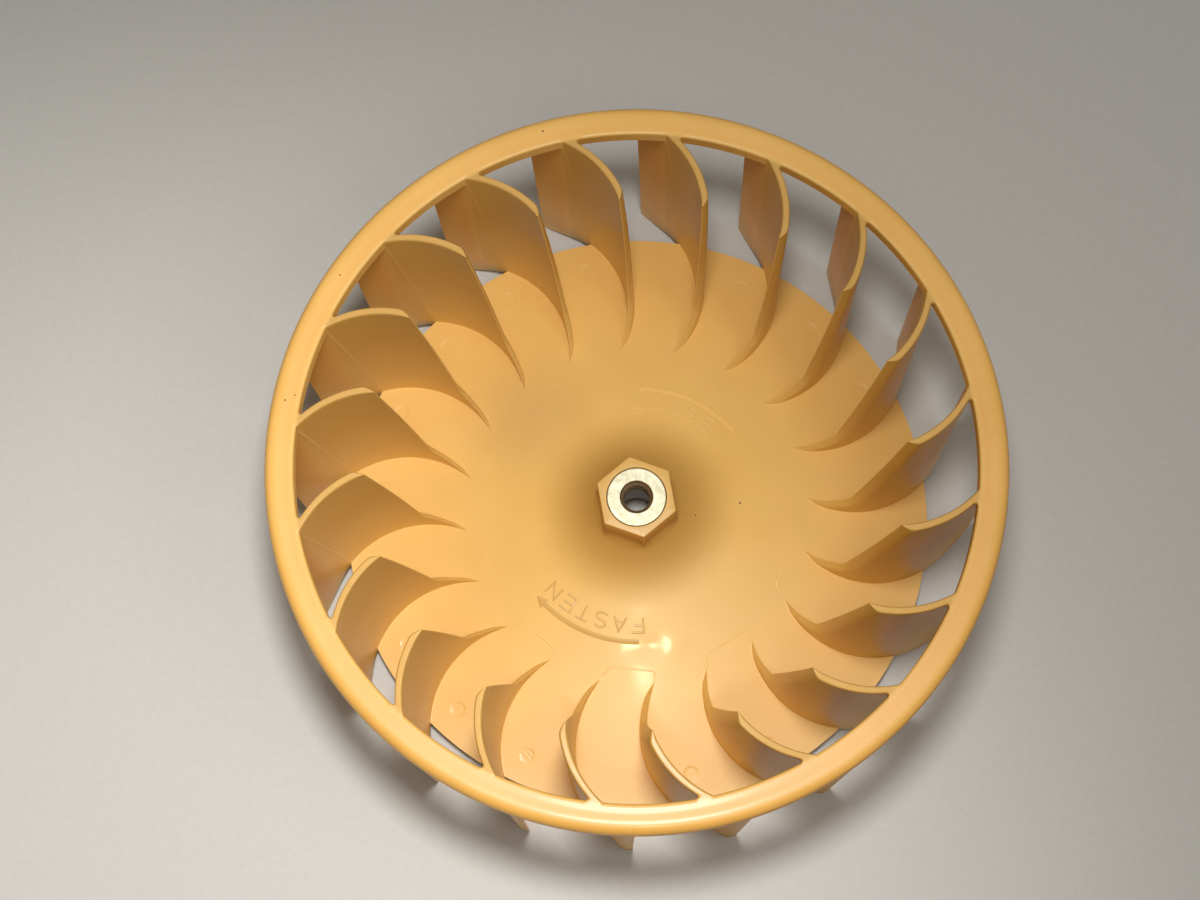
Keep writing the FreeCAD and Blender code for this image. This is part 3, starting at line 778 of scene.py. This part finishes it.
def plastic(name, depth, dark, low, high):
    """Translucent amber plastic. depth is the share of light that goes under the skin."""
    m, nt, b = nodes_of(name)
    L = nt.links.new
    tc = node(nt, "ShaderNodeTexCoord")
    sep = node(nt, "ShaderNodeSeparateXYZ")
    L(tc.outputs["Object"], sep.inputs[0])
    flat = node(nt, "ShaderNodeCombineXYZ")
    L(sep.outputs["X"], flat.inputs["X"])
    L(sep.outputs["Y"], flat.inputs["Y"])
    length = node(nt, "ShaderNodeVectorMath", operation="LENGTH")
    L(flat.outputs[0], length.inputs[0])
    # the disc is painted darker towards the hub, within 34 mm of the axis, and less so up the hub's walls from 24 mm
    near_hub = node(nt, "ShaderNodeMapRange", interpolation_type="SMOOTHSTEP")
    near_hub.inputs["From Min"].default_value = 0.0125
    near_hub.inputs["From Max"].default_value = 0.034
    near_hub.inputs["To Min"].default_value = 1.0
    near_hub.inputs["To Max"].default_value = 0.0
    L(length.outputs["Value"], near_hub.inputs["Value"])
    hub_low = node(nt, "ShaderNodeMapRange")
    hub_low.inputs["From Min"].default_value = 0.0240
    hub_low.inputs["From Max"].default_value = 0.0300
    hub_low.inputs["To Min"].default_value = 1.0
    hub_low.inputs["To Max"].default_value = 0.35
    L(sep.outputs["Z"], hub_low.inputs["Value"])
    hub = node(nt, "ShaderNodeMath", operation="MULTIPLY")
    L(near_hub.outputs[0], hub.inputs[0])
    L(hub_low.outputs[0], hub.inputs[1])
    cloud = node(nt, "ShaderNodeTexNoise", in_Scale=26.0, in_Detail=4.0, in_Roughness=0.6)
    L(tc.outputs["Object"], cloud.inputs["Vector"])
    tint = node(nt, "ShaderNodeValToRGB")
    tint.color_ramp.elements[0].position = 0.3
    tint.color_ramp.elements[0].color = low + (1,)
    tint.color_ramp.elements[1].position = 0.7
    tint.color_ramp.elements[1].color = high + (1,)
    L(cloud.outputs["Fac"], tint.inputs["Fac"])
    mix = node(nt, "ShaderNodeMix", data_type="RGBA")
    L(hub.outputs[0], mix.inputs["Factor"])
    L(tint.outputs["Color"], mix.inputs["A"])
    mix.inputs["B"].default_value = dark + (1,)
    # painted light and shade across the ring: its inner flat is painted a little darker and its crown a little
    # lighter, for the light its thin inner part lets through where its thick shoulder does not; past its inner edge it
    # is also tinted warmer
    ring = node(nt, "ShaderNodeMapRange")
    ring.inputs["From Min"].default_value = 0.0962
    ring.inputs["From Max"].default_value = 0.1048
    L(length.outputs["Value"], ring.inputs["Value"])
    band = node(nt, "ShaderNodeValToRGB")
    band.color_ramp.interpolation = "B_SPLINE"
    for pos, v in ((0.0, 1.0), (0.12, 1.0), (0.26, 0.96), (0.42, 0.97), (0.62, 1.02), (0.80, 1.0), (1.0, 0.98)):
        e = band.color_ramp.elements[0] if pos == 0.0 else (band.color_ramp.elements[-1] if pos == 1.0 else band.color_ramp.elements.new(pos))
        e.position = pos
        tint = (1.0, 1.0, 1.0) if pos == 0.0 else (1.07, 0.915, 0.81)
        e.color = (v * tint[0], v * tint[1], v * tint[2], 1)
    L(ring.outputs[0], band.inputs["Fac"])
    shade = node(nt, "ShaderNodeMix", data_type="RGBA", blend_type="MULTIPLY")
    shade.inputs["Factor"].default_value = 1.0
    L(mix.outputs["Result"], shade.inputs["A"])
    L(band.outputs["Color"], shade.inputs["B"])
    # painted light and shade: the ring is painted lighter and cooler towards its far side and darker and warmer
    # towards its near side, for more light falling on its far side
    side = node(nt, "ShaderNodeMapRange")
    side.inputs["From Min"].default_value = -0.105
    side.inputs["From Max"].default_value = 0.105
    L(sep.outputs["Y"], side.inputs["Value"])
    on_ring = node(nt, "ShaderNodeMapRange")
    on_ring.inputs["From Min"].default_value = 0.0958
    on_ring.inputs["From Max"].default_value = 0.0966
    L(length.outputs["Value"], on_ring.inputs["Value"])
    ends = node(nt, "ShaderNodeMix", data_type="RGBA")
    L(side.outputs[0], ends.inputs["Factor"])
    ends.inputs["A"].default_value = (0.92, 0.86, 0.74, 1)
    ends.inputs["B"].default_value = (1.12, 1.13, 1.20, 1)
    ring_far_light = node(nt, "ShaderNodeMix", data_type="RGBA", blend_type="MULTIPLY")
    L(on_ring.outputs[0], ring_far_light.inputs["Factor"])
    L(shade.outputs["Result"], ring_far_light.inputs["A"])
    L(ends.outputs["Result"], ring_far_light.inputs["B"])
    # painted shade: the blades' top edges are painted a little darker than the moulded skin, for light lost out
    # through their thin sides; they are also duller
    high = node(nt, "ShaderNodeMapRange", interpolation_type="SMOOTHSTEP")
    high.inputs["From Min"].default_value = 0.0890
    high.inputs["From Max"].default_value = 0.0902
    L(sep.outputs["Z"], high.inputs["Value"])
    inside = node(nt, "ShaderNodeMapRange", interpolation_type="SMOOTHSTEP")
    inside.inputs["From Min"].default_value = 0.0955
    inside.inputs["From Max"].default_value = 0.0972
    inside.inputs["To Min"].default_value = 1.0
    inside.inputs["To Max"].default_value = 0.0
    L(length.outputs["Value"], inside.inputs["Value"])
    top = node(nt, "ShaderNodeMath", operation="MULTIPLY")
    L(high.outputs[0], top.inputs[0])
    L(inside.outputs[0], top.inputs[1])
    top_edge_shade = node(nt, "ShaderNodeMix", data_type="RGBA", blend_type="MULTIPLY")
    L(top.outputs[0], top_edge_shade.inputs["Factor"])
    # painted light: the blades' thin faces are painted lighter and cooler near the disc and yellower higher up, for
    # light that comes through them from both sides
    upright = node(nt, "ShaderNodeSeparateXYZ")
    L(tc.outputs["Normal"], upright.inputs[0])
    tilt = node(nt, "ShaderNodeMath", operation="ABSOLUTE")
    L(upright.outputs["Z"], tilt.inputs[0])
    on_face = node(nt, "ShaderNodeMapRange", interpolation_type="SMOOTHSTEP")
    on_face.inputs["From Min"].default_value = 0.2
    on_face.inputs["From Max"].default_value = 0.7
    on_face.inputs["To Min"].default_value = 1.0
    on_face.inputs["To Max"].default_value = 0.0
    L(tilt.outputs[0], on_face.inputs["Value"])
    out_of_hub = node(nt, "ShaderNodeMapRange")
    out_of_hub.inputs["From Min"].default_value = 0.040
    out_of_hub.inputs["From Max"].default_value = 0.052
    L(length.outputs["Value"], out_of_hub.inputs["Value"])
    face = node(nt, "ShaderNodeMath", operation="MULTIPLY")
    L(on_face.outputs[0], face.inputs[0])
    L(out_of_hub.outputs[0], face.inputs[1])
    rise = node(nt, "ShaderNodeMapRange", interpolation_type="SMOOTHSTEP")
    rise.inputs["From Min"].default_value = 0.012
    rise.inputs["From Max"].default_value = 0.066
    L(sep.outputs["Z"], rise.inputs["Value"])
    glow = node(nt, "ShaderNodeMix", data_type="RGBA")
    L(rise.outputs[0], glow.inputs["Factor"])
    glow.inputs["A"].default_value = (1.10, 1.22, 1.22, 1)
    glow.inputs["B"].default_value = (1.0, 0.985, 0.80, 1)
    # the disc is painted a little darker in a soft round patch to the far left
    off = node(nt, "ShaderNodeVectorMath", operation="DISTANCE")
    L(flat.outputs[0], off.inputs[0])
    off.inputs[1].default_value = (-0.034, 0.032, 0.0)
    far_left_patch = node(nt, "ShaderNodeMapRange", interpolation_type="SMOOTHSTEP")
    far_left_patch.inputs["From Min"].default_value = 0.0
    far_left_patch.inputs["From Max"].default_value = 0.030
    far_left_patch.inputs["To Min"].default_value = 1.0
    far_left_patch.inputs["To Max"].default_value = 0.0
    L(off.outputs["Value"], far_left_patch.inputs["Value"])
    dim = node(nt, "ShaderNodeMix", data_type="RGBA", blend_type="MULTIPLY")
    L(far_left_patch.outputs[0], dim.inputs["Factor"])
    L(ring_far_light.outputs["Result"], dim.inputs["A"])
    dim.inputs["B"].default_value = (0.87, 0.86, 0.94, 1)
    thin = node(nt, "ShaderNodeMix", data_type="RGBA", blend_type="MULTIPLY")
    L(face.outputs[0], thin.inputs["Factor"])
    L(dim.outputs["Result"], thin.inputs["A"])
    L(glow.outputs["Result"], thin.inputs["B"])
    # painted shade: the faces to the right are painted yellower and a little darker, the near ones most, for the dim
    # light that reaches them
    south = node(nt, "ShaderNodeMapRange", interpolation_type="SMOOTHSTEP")
    south.inputs["From Min"].default_value = -0.020
    south.inputs["From Max"].default_value = 0.025
    south.inputs["To Min"].default_value = 1.0
    south.inputs["To Max"].default_value = 0.0
    L(sep.outputs["Y"], south.inputs["Value"])
    east_mask = node(nt, "ShaderNodeMapRange", interpolation_type="SMOOTHSTEP")
    east_mask.inputs["From Min"].default_value = 0.045
    east_mask.inputs["From Max"].default_value = 0.085
    L(sep.outputs["X"], east_mask.inputs["Value"])
    east_faces = node(nt, "ShaderNodeMath", operation="MULTIPLY")
    L(east_mask.outputs[0], east_faces.inputs[0])
    L(face.outputs[0], east_faces.inputs[1])
    east_near_faces = node(nt, "ShaderNodeMath", operation="MULTIPLY")
    L(east_faces.outputs[0], east_near_faces.inputs[0])
    L(south.outputs[0], east_near_faces.inputs[1])
    east_far_faces = node(nt, "ShaderNodeMath", operation="SUBTRACT")
    L(east_faces.outputs[0], east_far_faces.inputs[0])
    L(east_near_faces.outputs[0], east_far_faces.inputs[1])
    east_near_shade = node(nt, "ShaderNodeMix", data_type="RGBA", blend_type="MULTIPLY")
    L(east_near_faces.outputs[0], east_near_shade.inputs["Factor"])
    east_far_shade = node(nt, "ShaderNodeMix", data_type="RGBA", blend_type="MULTIPLY")
    L(east_far_faces.outputs[0], east_far_shade.inputs["Factor"])
    L(thin.outputs["Result"], east_far_shade.inputs["A"])
    east_far_shade.inputs["B"].default_value = (0.98, 0.97, 0.88, 1)
    L(east_far_shade.outputs["Result"], east_near_shade.inputs["A"])
    east_near_shade.inputs["B"].default_value = (1.0, 0.97, 0.66, 1)
    # painted light: the faces on the near side, inside the disc's rim, are painted lighter, for light that comes
    # through them near the disc
    near = node(nt, "ShaderNodeMapRange", interpolation_type="SMOOTHSTEP")
    near.inputs["From Min"].default_value = -0.085
    near.inputs["From Max"].default_value = -0.050
    near.inputs["To Min"].default_value = 1.0
    near.inputs["To Max"].default_value = 0.0
    L(sep.outputs["Y"], near.inputs["Value"])
    inner = node(nt, "ShaderNodeMapRange", interpolation_type="SMOOTHSTEP")
    inner.inputs["From Min"].default_value = 0.0825
    inner.inputs["From Max"].default_value = 0.0885
    inner.inputs["To Min"].default_value = 1.0
    inner.inputs["To Max"].default_value = 0.0
    L(length.outputs["Value"], inner.inputs["Value"])
    near_in = node(nt, "ShaderNodeMath", operation="MULTIPLY")
    L(near.outputs[0], near_in.inputs[0])
    L(inner.outputs[0], near_in.inputs[1])
    near_face = node(nt, "ShaderNodeMath", operation="MULTIPLY")
    L(near_in.outputs[0], near_face.inputs[0])
    L(face.outputs[0], near_face.inputs[1])
    pale = node(nt, "ShaderNodeMix", data_type="RGBA", blend_type="MULTIPLY")
    L(near_face.outputs[0], pale.inputs["Factor"])
    L(east_near_shade.outputs["Result"], pale.inputs["A"])
    pale.inputs["B"].default_value = (1.18, 1.22, 1.05, 1)
    # painted shade: the outer parts of the near faces to the right, which stand free of the disc, are painted darker
    # and browner, for the little light that reaches them from below
    outer = node(nt, "ShaderNodeMath", operation="SUBTRACT")
    outer.inputs[0].default_value = 1.0
    L(inner.outputs[0], outer.inputs[1])
    right = node(nt, "ShaderNodeMapRange", interpolation_type="SMOOTHSTEP")
    right.inputs["From Min"].default_value = -0.015
    right.inputs["From Max"].default_value = 0.030
    L(sep.outputs["X"], right.inputs["Value"])
    outer_right = node(nt, "ShaderNodeMath", operation="MULTIPLY")
    outer_south = node(nt, "ShaderNodeMath", operation="MULTIPLY")
    L(outer.outputs[0], outer_south.inputs[0])
    L(south.outputs[0], outer_south.inputs[1])
    L(outer_south.outputs[0], outer_right.inputs[0])
    L(right.outputs[0], outer_right.inputs[1])
    outer_face = node(nt, "ShaderNodeMath", operation="MULTIPLY")
    L(outer_right.outputs[0], outer_face.inputs[0])
    L(face.outputs[0], outer_face.inputs[1])
    outer_face_shade = node(nt, "ShaderNodeMix", data_type="RGBA", blend_type="MULTIPLY")
    L(outer_face.outputs[0], outer_face_shade.inputs["Factor"])
    L(pale.outputs["Result"], outer_face_shade.inputs["A"])
    outer_face_shade.inputs["B"].default_value = (0.80, 0.69, 0.40, 1)
    L(outer_face_shade.outputs["Result"], top_edge_shade.inputs["A"])
    top_edge_shade.inputs["B"].default_value = (0.80, 0.75, 0.70, 1)
    L(top_edge_shade.outputs["Result"], b.inputs["Base Color"])
    rough = node(nt, "ShaderNodeMapRange")
    rough.inputs["To Min"].default_value = 0.38
    rough.inputs["To Max"].default_value = 0.62
    L(top.outputs[0], rough.inputs["Value"])
    L(rough.outputs[0], b.inputs["Roughness"])
    b.inputs["IOR"].default_value = 1.49
    b.inputs["Specular IOR Level"].default_value = 0.28
    b.inputs["Coat Weight"].default_value = 0.045
    b.inputs["Coat Roughness"].default_value = 0.10
    b.inputs["Subsurface Weight"].default_value = depth
    b.inputs["Subsurface Radius"].default_value = (1.0, 0.8, 0.5)
    b.inputs["Subsurface Scale"].default_value = 0.003
    fine = node(nt, "ShaderNodeTexNoise", in_Scale=900.0, in_Detail=2.0)
    L(tc.outputs["Object"], fine.inputs["Vector"])
    wave = node(nt, "ShaderNodeTexNoise", in_Scale=60.0, in_Detail=2.0)
    L(tc.outputs["Object"], wave.inputs["Vector"])
    bump1 = node(nt, "ShaderNodeBump", in_Strength=0.05, in_Distance=0.0001)
    L(fine.outputs["Fac"], bump1.inputs["Height"])
    bump2 = node(nt, "ShaderNodeBump", in_Strength=0.25, in_Distance=0.0004)
    L(wave.outputs["Fac"], bump2.inputs["Height"])
    L(bump1.outputs["Normal"], bump2.inputs["Normal"])
    L(bump2.outputs["Normal"], b.inputs["Normal"])
    return m


def metal():
    m, nt, b = nodes_of("zinc_plate")
    L = nt.links.new
    tc = node(nt, "ShaderNodeTexCoord")
    spots = node(nt, "ShaderNodeTexNoise", in_Scale=480.0, in_Detail=6.0, in_Roughness=0.62, in_Distortion=0.6)
    L(tc.outputs["Object"], spots.inputs["Vector"])
    ramp = node(nt, "ShaderNodeValToRGB")
    ramp.color_ramp.elements[0].position = 0.38
    ramp.color_ramp.elements[0].color = (0.40, 0.37, 0.25, 1)
    ramp.color_ramp.elements[1].position = 0.62
    ramp.color_ramp.elements[1].color = (0.62, 0.585, 0.44, 1)
    L(spots.outputs["Fac"], ramp.inputs["Fac"])
    b.inputs["Metallic"].default_value = 1.0
    rough = node(nt, "ShaderNodeMapRange")
    rough.inputs["To Min"].default_value = 0.46
    rough.inputs["To Max"].default_value = 0.62
    L(spots.outputs["Fac"], rough.inputs["Value"])
    L(rough.outputs[0], b.inputs["Roughness"])
    sep = node(nt, "ShaderNodeSeparateXYZ")
    L(tc.outputs["Object"], sep.inputs[0])
    flat = node(nt, "ShaderNodeCombineXYZ")
    L(sep.outputs["X"], flat.inputs["X"])
    L(sep.outputs["Y"], flat.inputs["Y"])
    length = node(nt, "ShaderNodeVectorMath", operation="LENGTH")
    L(flat.outputs[0], length.inputs[0])
    turned_marks = node(nt, "ShaderNodeTexNoise", noise_dimensions="1D", in_Scale=9000.0, in_Detail=2.0)
    L(length.outputs["Value"], turned_marks.inputs["W"])
    # painted reflection and shade: inside the bore the metal is painted dark brown, for the amber plastic it mirrors
    # and the shade down the hole
    bore = node(nt, "ShaderNodeMapRange")
    bore.inputs["From Min"].default_value = 0.0049
    bore.inputs["From Max"].default_value = 0.0052
    L(length.outputs["Value"], bore.inputs["Value"])
    bore_paint = node(nt, "ShaderNodeMix", data_type="RGBA")
    L(bore.outputs[0], bore_paint.inputs["Factor"])
    bore_paint.inputs["A"].default_value = (0.36, 0.27, 0.15, 1)
    L(ramp.outputs["Color"], bore_paint.inputs["B"])
    L(bore_paint.outputs["Result"], b.inputs["Base Color"])
    bump = node(nt, "ShaderNodeBump", in_Strength=0.25, in_Distance=0.00005)
    L(turned_marks.outputs["Fac"], bump.inputs["Height"])
    L(bump.outputs["Normal"], b.inputs["Normal"])
    return m


mat_plastic = plastic("moulded_plastic", 0.0, (0.47, 0.258, 0.058), (0.750, 0.452, 0.122), (0.812, 0.503, 0.149))
mat_marks = plastic("mark_faces", 0.0, (0.38, 0.20, 0.047), (0.623, 0.375, 0.106), (0.651, 0.40, 0.122))
# painted highlight: a lighter copy of the plastic, for the crowns of the far arrow
mat_far_arrow_light = plastic("mark_crowns_lit", 0.0, (0.53, 0.30, 0.07), (0.842, 0.520, 0.146), (0.895, 0.565, 0.176))
mat_metal = metal()
mat_dirt, dirt_tree, dirt_shader = nodes_of("dirt")
dirt_noise = node(dirt_tree, "ShaderNodeTexNoise", in_Scale=3000.0, in_Detail=2.0)
dirt_ramp = node(dirt_tree, "ShaderNodeValToRGB")
dirt_ramp.color_ramp.elements[0].color = (0.06, 0.035, 0.018, 1)
dirt_ramp.color_ramp.elements[1].color = (0.16, 0.09, 0.04, 1)
dirt_tree.links.new(dirt_noise.outputs["Fac"], dirt_ramp.inputs["Fac"])
dirt_tree.links.new(dirt_ramp.outputs["Color"], dirt_shader.inputs["Base Color"])
dirt_shader.inputs["Roughness"].default_value = 0.7
wheel.data.materials.append(mat_plastic)
turning_marks.data.materials.append(mat_marks)
turning_marks.data.materials.append(mat_far_arrow_light)
turning_marks.data.materials.append(mat_plastic)
for face in turning_marks.data.polygons:  # the far arrow is a little paler than the disc, its word is as pale
    far = face.center.y > 0.0
    face.material_index = (1 if face.center.xy.length > 0.0384 else 2) if far else 0
seam_marks.data.materials.append(mat_plastic)
insert.data.materials.append(mat_metal)
dirt.data.materials.append(mat_dirt)

# ------------------------------------------------------------------ floor, light, camera
floor_me = bpy.data.meshes.new("floor")
s = 3.0
floor_me.from_pydata([(-s, -s, -0.0002), (s, -s, -0.0002), (s, s, -0.0002), (-s, s, -0.0002)], [], [(0, 1, 2, 3)])
floor = bpy.data.objects.new("floor", floor_me)
bpy.context.scene.collection.objects.link(floor)
fm, fnt, fb = nodes_of("floor_paper")
ftc = node(fnt, "ShaderNodeTexCoord")
fn = node(fnt, "ShaderNodeTexNoise", in_Scale=500.0, in_Detail=3.0)
fnt.links.new(ftc.outputs["Object"], fn.inputs["Vector"])
fr = node(fnt, "ShaderNodeValToRGB")
fr.color_ramp.elements[0].color = (0.56, 0.54, 0.50, 1)
fr.color_ramp.elements[1].color = (0.62, 0.60, 0.555, 1)
fnt.links.new(fn.outputs["Fac"], fr.inputs["Fac"])
fnt.links.new(fr.outputs["Color"], fb.inputs["Base Color"])
fb.inputs["Roughness"].default_value = 0.9
floor.data.materials.append(fm)

world = bpy.data.worlds.new("studio")
bpy.context.scene.world = world
world.use_nodes = True
bg = world.node_tree.nodes["Background"]
bg.inputs["Color"].default_value = (1.0, 0.94, 0.82, 1)
bg.inputs["Strength"].default_value = 0.13


def spot(name, pos, target, power, radius=0.05, cone=60.0, blend=1.0):
    """A lamp whose light falls off softly away from where it points."""
    d = bpy.data.lights.new(name, "SPOT")
    d.shadow_soft_size = radius
    d.energy = power
    d.spot_size = math.radians(cone)
    d.spot_blend = blend
    o = bpy.data.objects.new(name, d)
    o.location = pos
    o.rotation_mode = "QUATERNION"
    o.rotation_quaternion = (Vector(target) - Vector(pos)).to_track_quat("-Z", "Y")
    bpy.context.scene.collection.objects.link(o)
    return o


def area(name, pos, target, size, power, colour):
    d = bpy.data.lights.new(name, "AREA")
    d.shape = "DISK"
    d.size = size
    d.energy = power
    d.color = colour
    o = bpy.data.objects.new(name, d)
    o.location = pos
    way = Vector(target) - Vector(pos)
    o.rotation_mode = "QUATERNION"
    o.rotation_quaternion = way.to_track_quat("-Z", "Y")
    bpy.context.scene.collection.objects.link(o)
    return o


area("overhead", (0.0, -0.03, 0.75), (0, 0, 0.03), 0.10, 1.86, (1.0, 1.0, 1.0))
area("right_fill", (0.30, -0.15, 0.75), (0, 0, 0.03), 0.30, 0.72, (1.0, 1.0, 1.0))
spot("key", (0.0, -0.03, 0.75), (-0.20, -0.18, 0.0), 13.1)
low_key = spot("low_key", (0.02, -0.222, 0.75), (-0.12, -0.12, 0.0), 2.5, 0.12)
low_key.visible_glossy = False
glint = spot("glint", (0.0074, -0.2299, 0.75), (0.003, -0.043, 0.012), 9.0, 0.022, 7.5, 0.6)
glint.data.color = (1.0, 0.93, 0.66)
glint.visible_diffuse = False
spot("left_key", (-0.15, -0.15, 0.75), (-0.10, -0.10, 0.0), 0.2)

cam_d = bpy.data.cameras.new("camera")
cam_d.sensor_width = 36.0
cam_d.sensor_fit = "HORIZONTAL"
cam_d.lens = 69.396
cam_d.clip_start, cam_d.clip_end = 0.01, 20.0
cam = bpy.data.objects.new("camera", cam_d)
bpy.context.scene.collection.objects.link(cam)
cam.location = (0.0, -0.144895, 0.722754)
turn = Vector((math.radians(13.111), math.radians(1.033), math.radians(-1.295)))
cam.rotation_mode = "QUATERNION"
cam.rotation_quaternion = Matrix.Rotation(turn.length, 3, turn.normalized()).to_quaternion()
bpy.context.scene.camera = cam

vs = bpy.context.scene.view_settings
vs.view_transform = "Standard"
vs.look = "None"
vs.exposure = 0.0
vs.gamma = 1.0
